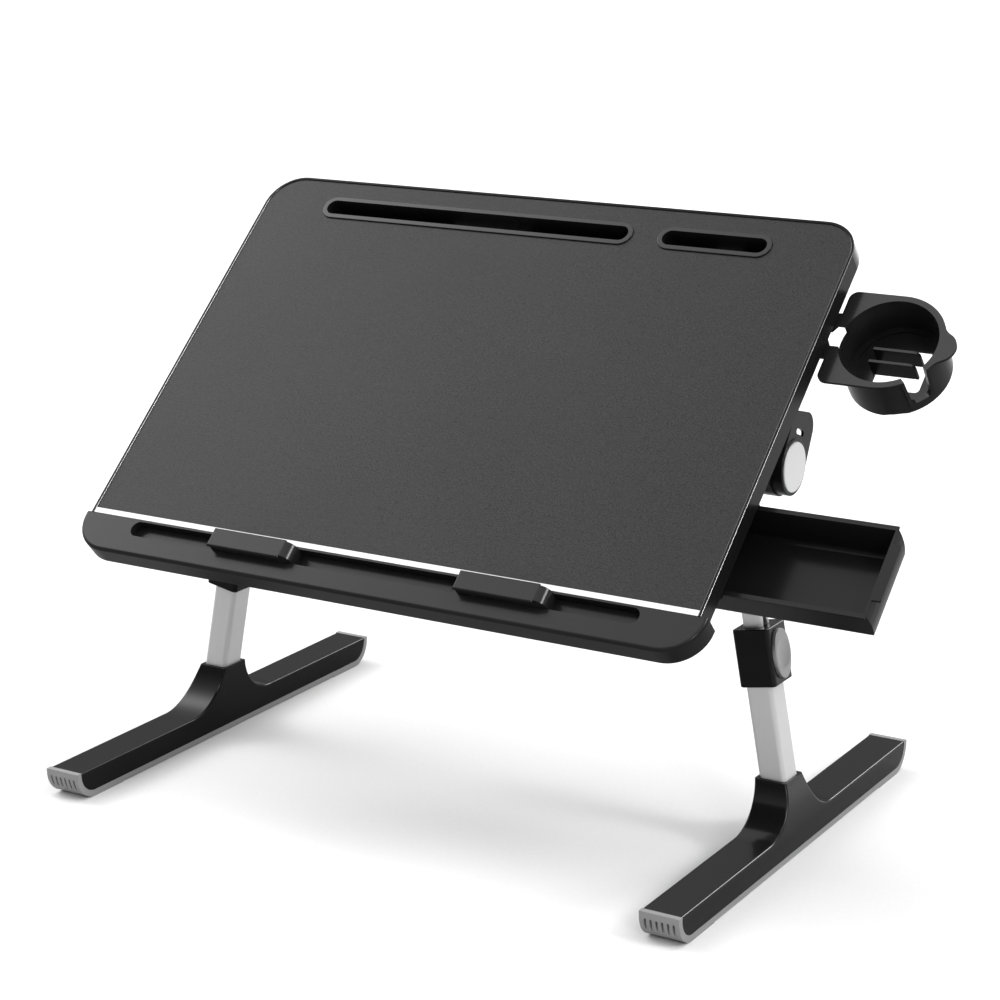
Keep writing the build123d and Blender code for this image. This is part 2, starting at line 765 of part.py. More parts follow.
# Collar: the block on the outer tube's end, with a pocket for the height button
collar_width = collar_inner_side + collar_outer_side
pocket_floor = collar_outer_side - height_button_pocket
with BuildPart() as collar:
    with BuildSketch(Plane.XY.offset(-collar_start)):
        with Locations(((collar_outer_side - collar_inner_side) / 2, 0)):
            RectangleRounded(collar_width, collar_depth, collar_round)
    extrude(amount=-collar_length)
    fillet(collar.faces().sort_by(Axis.Z)[0].edges(), collar_edge_round)
    fillet(collar.faces().sort_by(Axis.Z)[-1].edges(), collar_edge_round)
    with BuildSketch(Plane.XY.offset(-collar_start + overrun)):
        add(tube_section(inner_width + 2 * slide_fit, inner_depth + 2 * slide_fit, tube_round))
    extrude(amount=-collar_length, mode=Mode.SUBTRACT)
    with BuildSketch(Plane.XY.offset(-outer_start)):
        add(tube_section(outer_width + 2 * seat_fit, outer_depth + 2 * seat_fit, tube_round))
    extrude(amount=-collar_length, mode=Mode.SUBTRACT)
    with BuildSketch(Plane.YZ.offset(pocket_floor)):
        with Locations((0, -pin_level)):
            Ellipse(height_button_width / 2 + slide_fit, height_button_length / 2 + slide_fit)
    extrude(amount=height_button_pocket + overrun, mode=Mode.SUBTRACT)
    with BuildSketch(Plane.YZ):
        with Locations((0, -pin_level)):
            Circle(lock_pin_radius + slide_fit)
    extrude(amount=collar_outer_side, mode=Mode.SUBTRACT)
save_pair(collar, "collar", leg)

# Height button: a dished oval on the collar's outer face
button_back = pocket_floor + height_button_press + slide_fit
button_front = collar_outer_side + height_button_proud
with BuildPart() as height_button:
    with BuildSketch(Plane.YZ.offset(button_back)):
        with Locations((0, -pin_level)):
            Ellipse(height_button_width / 2, height_button_length / 2)
    extrude(amount=button_front - button_back)
    fillet(height_button.faces().sort_by(Axis.X)[-1].edges(), height_button_round)
    with Locations((button_front + height_dish_radius - height_dish_depth, 0, -pin_level)):
        Sphere(height_dish_radius, mode=Mode.SUBTRACT)
save_pair(height_button, "height_button", leg)

# Lock pin behind the height button, reaching into the inner tube's slot
with BuildPart() as lock_pin:
    with BuildSketch(Plane.YZ.offset(lock_pin_reach)):
        with Locations((0, -pin_level)):
            Circle(lock_pin_radius)
    extrude(amount=button_back - lock_pin_reach)
save_pair(lock_pin, "lock_pin", leg)

# Foot: the long shell with its flared, leaning stem, seen from the side and from the front
half_foot = foot_length / 2


def foot_side(inset, end_inset):
    """Side view of the foot bar: flat top, large round ends, inset for the sole."""
    radius = foot_end_radius - inset
    reach = half_foot - end_inset
    with BuildSketch() as side:
        with BuildLine():
            Line((-reach, foot_height), (reach, foot_height))
            Line((reach, foot_height), (reach, inset + radius))
            RadiusArc((reach, inset + radius), (reach - radius, inset), radius)
            Line((reach - radius, inset), (radius - reach, inset))
            RadiusArc((radius - reach, inset), (-reach, inset + radius), radius)
            Line((-reach, inset + radius), (-reach, foot_height))
        make_face()
    return side.sketch


stem_rise = stem_height - foot_height
waist = foot_height * stem_waist_share
flare_end = stem_depth / 2 + sqrt(stem_flare**2 - (stem_flare - stem_rise) ** 2)
with BuildPart() as foot_shell:
    with BuildSketch(Plane.YZ.offset(foot_x - foot_width)):
        add(foot_side(sole_thickness, sole_end))
        with BuildLine():
            Line((-stem_depth / 2, stem_height), (stem_depth / 2, stem_height))
            RadiusArc((stem_depth / 2, stem_height), (flare_end, foot_height), -stem_flare)
            Polyline(
                (flare_end, foot_height),
                (flare_end, foot_height - overrun),
                (-flare_end, foot_height - overrun),
                (-flare_end, foot_height),
            )
            RadiusArc((-flare_end, foot_height), (-stem_depth / 2, stem_height), -stem_flare)
        make_face()
    extrude(amount=2 * foot_width)
    with BuildSketch(Plane.XZ.offset(-foot_length)):
        with BuildLine():
            Polyline(
                (foot_x - foot_width / 2, waist),
                (foot_x - foot_width / 2, 0),
                (foot_outer, 0),
                (foot_outer, waist),
            )
            TangentArc((foot_outer, waist), (stem_x + stem_width / 2, stem_height), tangent=(0, 1))
            Line((stem_x + stem_width / 2, stem_height), (stem_x - stem_width / 2, stem_height))
            TangentArc(
                (foot_x - foot_width / 2, waist),
                (stem_x - stem_width / 2, stem_height),
                tangent=(0, 1),
            )
        make_face()
    extrude(amount=2 * foot_length, mode=Mode.INTERSECT)
    long_edges = foot_shell.edges().filter_by_position(Axis.Z, foot_height - overrun, stem_height - overrun)
    beside_stem = long_edges.filter_by(lambda edge: abs(edge.center().Y) > stem_depth / 2)
    fillet(beside_stem.filter_by(lambda edge: edge.length > foot_width + overrun), foot_edge_round)
    socket = Plane(
        origin=(stem_x, 0, stem_height),
        x_dir=(cos(radians(leg_splay)), 0, sin(radians(leg_splay))),
        z_dir=(-sin(radians(leg_splay)), 0, cos(radians(leg_splay))),
    )
    with BuildSketch(socket.offset(-socket_depth - socket_floor)):
        RectangleRounded(outer_width + 2 * seat_fit, outer_depth + 2 * seat_fit, tube_round)
    extrude(amount=socket_depth + stem_height, mode=Mode.SUBTRACT)
save_pair(foot_shell, "foot_shell", stand)

# Sole: the grey rubber strip under the foot and up round its ends, with grip slots
with BuildPart() as foot_sole:
    with BuildSketch(Plane.YZ.offset(foot_x - foot_width / 2)):
        add(foot_side(0, 0))
        add(foot_side(sole_thickness, sole_end), mode=Mode.SUBTRACT)
        with Locations((0, 0)):
            Rectangle(foot_length - 2 * sole_pad_length, 2 * sole_recess, mode=Mode.SUBTRACT)
    extrude(amount=foot_width)
    grip_pitch = foot_width / (grip_count + 1)
    for end in (1, -1):
        with BuildSketch(Plane.XZ.offset(-end * half_foot)):
            with Locations((foot_x, (grip_low + grip_high) / 2)):
                with GridLocations(grip_pitch, foot_height, grip_count, 1):
                    SlotOverall(grip_high - grip_low, grip_width, rotation=90)
        extrude(amount=end * (grip_depth + sole_thickness / 2), mode=Mode.SUBTRACT)
save_pair(foot_sole, "foot_sole", stand)

# Drawer: a thin tapered tray hung by its rims, with a bowed outer end and a pull lip
drawer_bottom = drawer_top - drawer_height
drawer_half = drawer_width / 2
bulge_level = drawer_bottom + drawer_height * drawer_bulge_share


def drawer_block(inset, rise):
    """The drawer's outer form, shrunk by an inset and raised above its top for the hollow."""
    with BuildPart() as block:
        with BuildSketch(Plane.XZ.offset(-drawer_y - drawer_half)):
            with BuildLine():
                Polyline(
                    (drawer_end - inset, drawer_top),
                    (drawer_end - inset, drawer_top + rise),
                    (drawer_back_end + inset, drawer_top + rise),
                    (drawer_back_end + inset, drawer_bottom + inset),
                    (drawer_end + drawer_toe - inset, drawer_bottom + inset),
                )
                ThreePointArc(
                    (drawer_end + drawer_toe - inset, drawer_bottom + inset),
                    (drawer_end + drawer_bulge - inset, bulge_level),
                    (drawer_end - inset, drawer_top),
                )
            make_face()
        extrude(amount=drawer_width)
        lean_in = drawer_draft * (drawer_height - inset) / drawer_height
        with BuildSketch(Plane.YZ.offset(drawer_back_end)):
            with BuildLine():
                Polyline(
                    (drawer_y + drawer_half - inset, drawer_top + rise),
                    (drawer_y + drawer_half - inset, drawer_top),
                    (drawer_y + drawer_half - lean_in - inset, drawer_bottom + inset),
                    (drawer_y - drawer_half + lean_in + inset, drawer_bottom + inset),
                    (drawer_y - drawer_half + inset, drawer_top),
                    (drawer_y - drawer_half + inset, drawer_top + rise),
                    close=True,
                )
            make_face()
        extrude(amount=drawer_length + drawer_bulge, mode=Mode.INTERSECT)
        fillet(block.faces().sort_by(Axis.Z)[0].edges(), drawer_round - inset)
    return block.part


drawer_solid = drawer_block(0, drawer_headroom / 2)
drawer_hollow = drawer_block(drawer_wall, drawer_headroom)
with BuildPart() as drawer:
    add(drawer_solid)
    with BuildSketch(Plane.XY.offset(drawer_top)):
        with Locations((drawer_back_end + drawer_length / 2, drawer_y)):
            Rectangle(drawer_length + overrun, drawer_width + overrun)
    extrude(amount=drawer_headroom, mode=Mode.SUBTRACT)
    with BuildSketch(Plane.XY.offset(drawer_top - drawer_rim_thickness)):
        with Locations((drawer_back_end + drawer_length / 2, drawer_y)):
            Rectangle(drawer_length, drawer_width + 2 * drawer_rim_width)
        with Locations((drawer_end, drawer_y)):
            RectangleRounded(2 * pull_reach, pull_length, pull_corner)
    extrude(amount=drawer_rim_thickness)
    add(drawer_hollow, mode=Mode.SUBTRACT)
save(drawer, "drawer", table)

# Drawer runners: two rails under the board that hook the drawer's rims
runner_end = table_width / 2 - drawer_inset
rim_edge = drawer_half + drawer_rim_width
runner_low = drawer_top - drawer_rim_thickness - slide_fit - runner_wall


def runner(side):
    """One rail, on the front (-1) or rear (+1) side of the drawer."""
    near = drawer_y + side * (rim_edge + slide_fit)
    with BuildPart() as rail:
        with BuildSketch(Plane.YZ.offset(runner_end - runner_length)):
            with BuildLine():
                Polyline(
                    (near - side * runner_lip, runner_low),
                    (near + side * runner_wall, runner_low),
                    (near + side * runner_wall, underside),
                    (near - side * runner_foot, underside),
                    (near - side * runner_foot, underside - runner_wall),
                    (near, underside - runner_wall),
                    (near, runner_low + runner_wall),
                    (near - side * runner_lip, runner_low + runner_wall),
                    close=True,
                )
            make_face()
        extrude(amount=runner_length)
    return rail


save(runner(-1), "front_drawer_runner", table)
save(runner(1), "rear_drawer_runner", table)

# Cup holder: a flanged, stepped cup with a gap for a mug's handle and two sliding arms
cup_bottom = cup_top - cup_height
cup_inner = cup_radius - cup_wall
plate_inner = table_width / 2 + cup_gap
cup_floor = cup_bottom + cup_floor_rise
blade_root = cup_x + cup_floor_aside - cup_floor_length / 2 - cup_wall
with BuildPart() as cup_holder:
    with BuildSketch(Plane.XY.offset(cup_top - cup_plate)) as flange:
        with Locations((cup_x, cup_y)):
            Circle(cup_plate_half)
            with Locations((cup_lobe_reach, 0)):
                Circle(cup_lobe_radius)
        lobe_corners = flange.vertices().filter_by_position(Axis.X, cup_x, cup_x + cup_plate_half)
        fillet(lobe_corners, cup_lobe_blend)
        with Locations(((plate_inner + cup_x) / 2, cup_y)):
            RectangleRounded(cup_x - plate_inner, 2 * cup_plate_half, cup_plate_corner)
        with Locations(((plate_inner + cup_plate_corner + cup_x) / 2, cup_y)):
            Rectangle(cup_x - plate_inner - cup_plate_corner, 2 * cup_plate_half)
        for side in (1, -1):
            with Locations((plate_inner - arm_length / 2 + cup_plate_corner, cup_y + side * arm_spread / 2)):
                Rectangle(arm_length + 2 * cup_plate_corner, arm_width)
    extrude(amount=cup_plate)
    with BuildSketch(Plane.XY.offset(cup_bottom)):
        with Locations((cup_x, cup_y)):
            Circle(cup_radius)
    extrude(amount=cup_height)
    handle_gap = Plane(
        origin=(cup_x, cup_y, cup_top),
        x_dir=(-sin(radians(cup_notch_angle)), cos(radians(cup_notch_angle)), 0),
        z_dir=(cos(radians(cup_notch_angle)), sin(radians(cup_notch_angle)), 0),
    )
    with BuildSketch(handle_gap.offset(cup_inner)):
        with BuildLine():
            Polyline(
                (-cup_notch_width / 2 - cup_notch_border, -cup_plate),
                (-cup_notch_foot / 2 - cup_notch_border, -cup_notch_depth - cup_notch_border),
                (cup_notch_foot / 2 + cup_notch_border, -cup_notch_depth - cup_notch_border),
                (cup_notch_width / 2 + cup_notch_border, -cup_plate),
                close=True,
            )
        make_face()
    extrude(amount=cup_wall + cup_notch_proud)
    with BuildSketch(Plane.XY.offset(cup_top - cup_step_depth)):
        with Locations((cup_x, cup_y)):
            Circle(cup_inner)
    extrude(amount=cup_step_depth + overrun, mode=Mode.SUBTRACT)
    with BuildSketch(Plane.XY.offset(cup_floor + cup_wall)):
        with Locations((cup_x, cup_y)):
            Circle(cup_inner - cup_step)
    extrude(amount=cup_height, mode=Mode.SUBTRACT)
    with BuildSketch(Plane.XY.offset(cup_floor)):
        with Locations((cup_x, cup_y)):
            Circle(cup_inner)
    extrude(amount=-cup_floor_rise - overrun, mode=Mode.SUBTRACT)
    with BuildSketch(Plane.XY.offset(cup_floor - overrun)):
        with Locations((cup_x + cup_floor_aside, cup_y - cup_floor_forward)):
            RectangleRounded(cup_floor_length, cup_floor_width, cup_floor_corner)
    extrude(amount=cup_wall + 2 * overrun, mode=Mode.SUBTRACT)
    for side in (1, -1):
        with BuildSketch(Plane.XZ.offset(-cup_y - side * cup_blade_gap / 2)) as blade:
            with Locations((blade_root + cup_blade_length / 2, cup_floor + cup_blade_height / 2)):
                Rectangle(cup_blade_length, cup_blade_height)
            fillet(blade.vertices().group_by(Axis.X)[-1].sort_by(Axis.Y)[-1], cup_blade_round)
        extrude(amount=cup_blade_wall / 2, both=True)
    with BuildSketch(handle_gap.offset(cup_inner - 2 * cup_step)) as gap:
        with BuildLine():
            Polyline(
                (-cup_notch_width / 2, overrun),
                (-cup_notch_width / 2, 0),
                (-cup_notch_foot / 2, -cup_notch_depth),
                (cup_notch_foot / 2, -cup_notch_depth),
                (cup_notch_width / 2, 0),
                (cup_notch_width / 2, overrun),
                close=True,
            )
        make_face()
        fillet(gap.vertices().group_by(Axis.Y)[0], cup_notch_round)
    extrude(amount=2 * cup_radius, mode=Mode.SUBTRACT)
    with BuildSketch(Plane.XY.offset(cup_top - hook_notch_depth)):
        with Locations((cup_x - cup_inner, cup_y)):
            RegularPolygon(hook_notch_radius, 6)
    extrude(amount=hook_notch_depth + overrun, mode=Mode.SUBTRACT)
    with BuildSketch(Plane.XY.offset(cup_bottom - overrun)):
        with Locations((cup_x, cup_y)):
            with PolarLocations(cup_radius, cup_key_count, start_angle=cup_key_angle):
                Rectangle(cup_wall, cup_key_width)
    extrude(amount=cup_key_depth + overrun, mode=Mode.SUBTRACT)
save(cup_holder, "cup_holder", table)

# Cup guide: the plate under the board whose lips carry the two arms
guide_low = cup_top - cup_plate - slide_fit - guide_wall
with BuildPart() as cup_guide:
    with BuildSketch(Plane.XY.offset(underside - guide_plate)):
        with Locations((guide_start + guide_length / 2, cup_y)):
            Rectangle(guide_length, guide_width)
    extrude(amount=guide_plate)
    for side in (1, -1):
        near = cup_y + side * guide_half
        with BuildSketch(Plane.YZ.offset(guide_start)):
            with BuildLine():
                Polyline(
                    (near, underside - guide_plate),
                    (near, guide_low + guide_wall),
                    (near - side * guide_lip, guide_low + guide_wall),
                    (near - side * guide_lip, guide_low),
                    (near + side * guide_wall, guide_low),
                    (near + side * guide_wall, underside - guide_plate),
                    close=True,
                )
            make_face()
        extrude(amount=guide_length)
    with BuildSketch(Plane.XY.offset(underside - guide_plate)):
        with Locations((guide_start + guide_length / 2, cup_y)):
            Rectangle(guide_length, guide_rib_width)
    extrude(amount=-guide_rib_height)
save(cup_guide, "cup_guide", table)


# Screws: pan heads seen from below, one group for each piece that they hold
def screw_group(places, level):
    """Cross-slotted heads that hang below a level of the top."""
    with BuildPart() as group:
        with BuildSketch(Plane.XY.offset(level - screw_height)):
            with Locations(*places):
                Circle(screw_radius)
        extrude(amount=screw_height)
        with BuildSketch(Plane.XY.offset(level - screw_height)):
            with Locations(*places):
                Rectangle(2 * screw_radius, screw_slot_width)
                Rectangle(screw_slot_width, 2 * screw_radius)
        extrude(amount=screw_slot_depth, mode=Mode.SUBTRACT)
    return group


bracket_rows = flange_width / 2 - screw_inset - flange_step
bracket_places = [
    (side * (flange_x + share * (flange_length / 2 - screw_inset - flange_step)), row)
    for side in (1, -1)
    for share in bracket_screw_shares
    for row in (bracket_rows, -bracket_rows)
]
save(screw_group(bracket_places, underside - 2 * flange_layer), "bracket_screws", table)

runner_mid = drawer_half - drawer_wall - screw_radius - slide_fit
runner_places = [
    (runner_end - runner_length * share, drawer_y + side * runner_mid)
    for side in (1, -1)
    for share in runner_screw_shares
]
save(screw_group(runner_places, underside - runner_wall), "runner_screws", table)

guide_row = guide_half + guide_wall + screw_margin
guide_places = [
    (guide_start + guide_length * share, cup_y + side * guide_row)
    for side in (1, -1)
    for share in guide_screw_shares
]
save(screw_group(guide_places, underside - guide_plate), "guide_screws", table)

ledge_places = [
    (share * (table_width / 2 - tongue_inset), ledge_back + (tongue_reach - tongue_rib_width) / 2)
    for share in ledge_screw_shares
]
save(screw_group(ledge_places, underside - tongue_thickness), "ledge_screws", table)

tray_places = [
    (centre + share * length, slot_y)
    for centre, length in ((tablet_slot_x, tablet_slot_length), (phone_slot_x, phone_slot_length))
    for share in tray_screw_shares
]
save(screw_group(tray_places, underside - tray_drop), "tray_screws", table)
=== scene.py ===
import json
from math import cos, pi, radians, sin

import bmesh
import bpy
from mathutils import Euler, Matrix, Vector


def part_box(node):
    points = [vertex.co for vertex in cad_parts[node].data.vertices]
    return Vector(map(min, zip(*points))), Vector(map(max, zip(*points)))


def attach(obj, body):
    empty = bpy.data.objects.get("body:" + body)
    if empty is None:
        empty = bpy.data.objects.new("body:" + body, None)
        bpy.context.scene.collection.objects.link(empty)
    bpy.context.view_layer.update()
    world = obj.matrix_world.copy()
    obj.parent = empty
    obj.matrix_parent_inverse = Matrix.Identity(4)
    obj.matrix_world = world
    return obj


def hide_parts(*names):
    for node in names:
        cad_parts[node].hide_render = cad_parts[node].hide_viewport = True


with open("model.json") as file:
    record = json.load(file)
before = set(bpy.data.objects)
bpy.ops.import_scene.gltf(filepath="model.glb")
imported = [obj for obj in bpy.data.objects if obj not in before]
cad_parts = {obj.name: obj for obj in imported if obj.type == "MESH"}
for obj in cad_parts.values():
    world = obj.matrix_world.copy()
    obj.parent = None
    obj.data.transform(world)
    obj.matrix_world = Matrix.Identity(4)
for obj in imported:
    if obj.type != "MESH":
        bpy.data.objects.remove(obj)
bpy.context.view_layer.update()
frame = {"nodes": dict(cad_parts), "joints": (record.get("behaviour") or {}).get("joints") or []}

# Board: the stiff core of the top, fibreboard faced on both sides with glossy black laminate.
# Two slots are milled through it. Its underside carries the hinges, the drawer's runners and
# the cup holder's guide, all held by screws.


class Shade:
    """A socket of a node tree; arithmetic on it adds Math nodes."""

    def __init__(self, tree, socket):
        self.tree = tree
        self.socket = socket

    def node(self, kind, settings=None, output=0, **sockets):
        """Add a node: its settings first, then the values or links of its sockets."""
        made = self.tree.nodes.new("ShaderNode" + kind)
        for name, value in (settings or {}).items():
            setattr(made, name, value)
        for name, value in sockets.items():
            key = int(name[1:]) if name[1:].isdigit() else name.replace("_", " ")
            plug(made.inputs[key], value)
        return Shade(self.tree, made.outputs[output])

    def math(self, operation, first, second):
        return self.node("Math", {"operation": operation}, i0=first, i1=second)

    def __add__(self, other):
        return self.math("ADD", self, other)

    __radd__ = __add__

    def __sub__(self, other):
        return self.math("SUBTRACT", self, other)

    def __rsub__(self, other):
        return self.math("SUBTRACT", other, self)

    def __mul__(self, other):
        return self.math("MULTIPLY", self, other)

    __rmul__ = __mul__

    def __pow__(self, other):
        return self.math("POWER", self, other)

    def at_least(self, floor):
        return self.math("MAXIMUM", self, floor)

    def spread(self, low, high):
        """Stretch a value from 0 to 1 over a range of numbers."""
        return low * (1 - self) + high * self

    def ramp(self, start, end, top=1.0):
        """Rise from 0 to a top value between two values, and stay level outside them."""
        return self.node("MapRange", Value=self, From_Min=start, From_Max=end, To_Max=top)

    def blend(self, dark, light):
        """Mix two greys, with this value as the share of the second."""
        return self.node("Mix", {"data_type": "RGBA"}, 2, i0=self, i6=(dark,) * 3, i7=(light,) * 3)


def plug(socket, value):
    """Set a socket to a number or colour, or link it to another socket."""
    if isinstance(value, Shade):
        value.tree.links.new(value.socket, socket)
    elif socket.type == "RGBA":
        socket.default_value = (*value, 1)
    else:
        socket.default_value = value


def material(name):
    """A new material, its shader and the object's own coordinates in metres."""
    made = bpy.data.materials.new(name)
    made.use_nodes = True
    tree = made.node_tree
    place = Shade(tree, tree.nodes.new("ShaderNodeTexCoord").outputs["Object"])
    return made, tree.nodes["Principled BSDF"], place


def finish(shader, **sockets):
    """Set the shader's sockets, by name, to numbers, colours or links."""
    for name, value in sockets.items():
        plug(shader.inputs[name.replace("_", " ")], value)


def noise(place, size, detail=2.0):
    """Noise whose blotches are about as large as a size in metres."""
    return place.node("TexNoise", Vector=place, Scale=1 / size, Detail=detail)


def relief(height, depth, strength=1.0):
    """A bump of a given depth in metres, for the shader's normal."""
    return height.node("Bump", Height=height, Strength=strength, Distance=depth)


def dress(made, *names):
    """Give a material to some CAD nodes."""
    for name in names:
        slots = frame["nodes"][name].data.materials
        slots.clear()
        slots.append(made)


laminate, shader, place = material("glossy_black_laminate")
haze = noise(place, size=0.07, detail=4.0)
peel = noise(place, size=0.007)
finish(
    shader,
    Base_Color=haze.blend(dark=0.006, light=0.010),
    Roughness=haze.spread(low=0.15, high=0.29),
    Specular_IOR_Level=0.35,
    Normal=relief(peel, depth=0.00004),
)
dress(laminate, "top_panel")

# Skin: a sheet of charcoal leatherette glued over the board, with a fine pebbled grain.
# It stops at the inlay in front and at the edge band on the other sides.
pebble_share = 0.54
crease_share = 0.6
speck_share = 0.8
leather, shader, place = material("charcoal_leatherette")
pebble = place.node("TexVoronoi", {"feature": "DISTANCE_TO_EDGE"}, Vector=place, Scale=620.0)
crease = noise(place, size=0.0008)
speck = crease.ramp(start=0.36, end=0.64)
wear = noise(place, size=0.12, detail=4.0)
finish(
    shader,
    Base_Color=(speck_share * speck + (1 - speck_share) * wear).blend(dark=0.001, light=0.023),
    Roughness=crease.spread(low=0.34, high=0.48),
    Specular_IOR_Level=0.12,
    Normal=relief(pebble_share * pebble + crease_share * crease, depth=0.00035, strength=0.7),
)
dress(leather, "top_skin")

# Edge band: satin black edging glued round the sides and the back of the board.
# Its raised bead stands a little above the skin. Its outer corner carries a painted highlight: a gloss
# coat laid only where faces look both up and sideways, toward the right-hand lamps.


def facing(place, axis):
    """How far a face looks along one axis, from -1 to 1."""
    normal = place.node("NewGeometry", output="Normal")
    return normal.node("SeparateXYZ", output=axis, i0=normal)


def edge_corner(place):
    """How far a face looks both up and sideways, as the rounded corner of a long edge does."""
    across = facing(place, "X")
    return across * across * facing(place, "Z")


edging, shader, place = material("satin_black_edging")
cloud = noise(place, size=0.09, detail=3.0)
finish(
    shader,
    Base_Color=cloud.blend(dark=0.004, light=0.007),
    Roughness=cloud.spread(low=0.24, high=0.32),
    Specular_IOR_Level=0.05,
    # Painted highlight: the coat goes only on faces that look up and sideways, so the lamps line the
    # outer corner.
    Coat_Weight=edge_corner(place).ramp(start=0.02, end=0.2),
    Coat_IOR=2.2,
    Coat_Roughness=0.12,
)
dress(edging, "edge_band")

# Accent strip: a slim white plastic inlay with a satin face.
# It is pressed into the joint between the front ledge and the skin.
inlay, shader, place = material("white_inlay")
cast = noise(place, size=0.016)
finish(
    shader,
    Base_Color=cast.blend(dark=0.50, light=0.56),
    Roughness=cast.spread(low=0.32, high=0.42),
)
dress(inlay, "accent_strip")

# Front ledge: one long charcoal moulding with a pen groove, screwed under the board by its tongue.
# Stoppers: two charcoal blocks that slide along the groove and hold what lies on the top.


def moulded(name, level, rough, gloss, grain, highlight_coat=0.5):
    """Spark-textured moulding: two close tones, a fine pitted grain, and a gloss coat on what faces
    up, a painted highlight that leaves faces looking down dark.
    """
    cloud_share = 0.6
    tone_share = 0.25
    pit_depth_share = 0.08
    coat_rough_share = 0.55
    rough_swing = 0.05
    made, shader, place = material(name)
    cloud = noise(place, size=0.09, detail=3.0)
    pits = noise(place, size=grain)
    # Painted highlight and painted shade: the coat covers faces that look up and corners that look up
    # and sideways toward the lamps. Faces that look down get none, so they stay dark.
    facing_up_highlight = facing(place, "Z").ramp(start=0.03, end=0.35, top=highlight_coat)
    corner_highlight = edge_corner(place).ramp(start=0.14, end=0.32, top=0.55)
    tone = cloud_share * cloud + (1 - cloud_share) * pits
    finish(
        shader,
        Base_Color=tone.blend(dark=level * (1 - tone_share), light=level * (1 + tone_share)),
        Roughness=cloud.spread(low=rough - rough_swing, high=rough + rough_swing),
        Specular_IOR_Level=gloss,
        Coat_Weight=facing_up_highlight.at_least(corner_highlight),
        Coat_Roughness=rough * coat_rough_share,
        Normal=relief(pits, depth=grain * pit_depth_share),
    )
    return made


charcoal = moulded("charcoal_moulding", level=0.009, rough=0.34, gloss=0.04, grain=0.0008, highlight_coat=0.22)
dress(charcoal, "front_ledge", "left_stopper", "right_stopper")

# Slot trays: black moulded troughs, glossier than the skin round them.
# They hang in the board's slots by their rims and are screwed on from below.
tray_black = moulded("tray_black", level=0.006, rough=0.26, gloss=0.03, grain=0.0009, highlight_coat=0.4)
dress(tray_black, "tablet_slot_tray", "phone_slot_tray")

# Hinges: glass-filled black mouldings. Each bracket is screwed under the board and its cap
# closes the drum; the core turns in it and the knuckle swings in the core's clevis.
sides = ("left_", "right_")
hinge_black = moulded("hinge_black", level=0.006, rough=0.30, gloss=0.06, grain=0.0007)
for side in sides:
    for name in ("hinge_bracket", "tilt_cap", "hinge_core", "knuckle"):
        dress(hinge_black, side + name)

# Tilt buttons: plain discs in silver paint with a fine metal flake.
# Each sits in the ring of a hinge cap and is pressed in to free the tilt.
silver, shader, place = material("silver_paint")
flake = noise(place, size=0.0005, detail=1.0)
finish(
    shader,
    Base_Color=flake.blend(dark=0.42, light=0.50),
    Metallic=0.3,
    Roughness=flake.spread(low=0.34, high=0.42),
)
for side in sides:
    dress(silver, side + "tilt_button")

# Bushes and glides: natural grey plastic liners between the pieces that turn and slide.
# Bolts, nuts, gears and lock pins: turned steel with a zinc plating.
liner = moulded("natural_liner", level=0.25, rough=0.45, gloss=0.40, grain=0.0008)
steel, shader, place = material("plated_steel")
turned = noise(place, size=0.0015)
finish(
    shader,
    Base_Color=turned.blend(dark=0.34, light=0.44),
    Metallic=1.0,
    Roughness=turned.spread(low=0.24, high=0.38),
)
for side in sides:
    dress(liner, side + "tilt_bush", side + "tube_glide")
    dress(steel, side + "fold_bolt", side + "fold_nut", side + "lock_gear", side + "lock_pin")

# Tilt springs: coils of round steel wire that push the tilt buttons out again.
# Each lies in the recess of its hub, behind the lock gear.
spring_turns = 5
spring_steps = 20
spring_wire = 0.0015
wire_sides = 8


def circle(count):
    """The cosine and sine of evenly spaced angles round a circle."""
    return [(cos(2 * pi * step / count), sin(2 * pi * step / count)) for step in range(count)]


def bridge_rings(form, rings):
    """Close a row of rings of vertices into a solid and turn its faces outward."""
    for first, second in zip(rings, rings[1:]):
        for edge in range(len(first)):
            following = (edge + 1) % len(first)
            form.faces.new((first[edge], first[following], second[following], second[edge]))
    form.faces.new(rings[0])
    form.faces.new(rings[-1])
    bmesh.ops.recalc_face_normals(form, faces=form.faces)


def to_mesh(name, form):
    """A mesh from a form, which is freed."""
    mesh = bpy.data.meshes.new(name)
    form.to_mesh(mesh)
    form.free()
    return mesh


def link(name, mesh):
    """A new object for a mesh, in the scene."""
    made = bpy.data.objects.new(name, mesh)
    bpy.context.scene.collection.objects.link(made)
    return made


def coil(name, low, high):
    """A coil of wire along X that fills a box."""
    middle = (low + high) / 2
    radius = (high.z - low.z - spring_wire) / 2
    run = high.x - low.x - spring_wire
    count = spring_turns * spring_steps
    form = bmesh.new()
    rings = []
    for step in range(count + 1):
        turn = 2 * pi * step / spring_steps
        outward = Vector((0, cos(turn), sin(turn)))
        centre = middle + Vector((run * step / count - run / 2, 0, 0)) + outward * radius
        offsets = [outward * out + Vector((aside, 0, 0)) for out, aside in circle(wire_sides)]
        rings.append([form.verts.new(centre + offset * spring_wire / 2) for offset in offsets])
    bridge_rings(form, rings)
    for face in form.faces:
        face.smooth = True
    mesh = to_mesh(name, form)
    mesh.materials.append(steel)
    return link(name, mesh)


for side in sides:
    low, high = (Vector(end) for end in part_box(side + "tilt_spring"))
    spring = coil(side + "coil_spring", low, high)
    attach(spring, side + "tilt_button")
    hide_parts(side + "tilt_spring")

# Leg tubes: pale satin anodised aluminium, drawn lengthwise, which leaves fine lines along them.
# The inner tube slides in the outer one, and the outer one is fixed in the foot's stem.


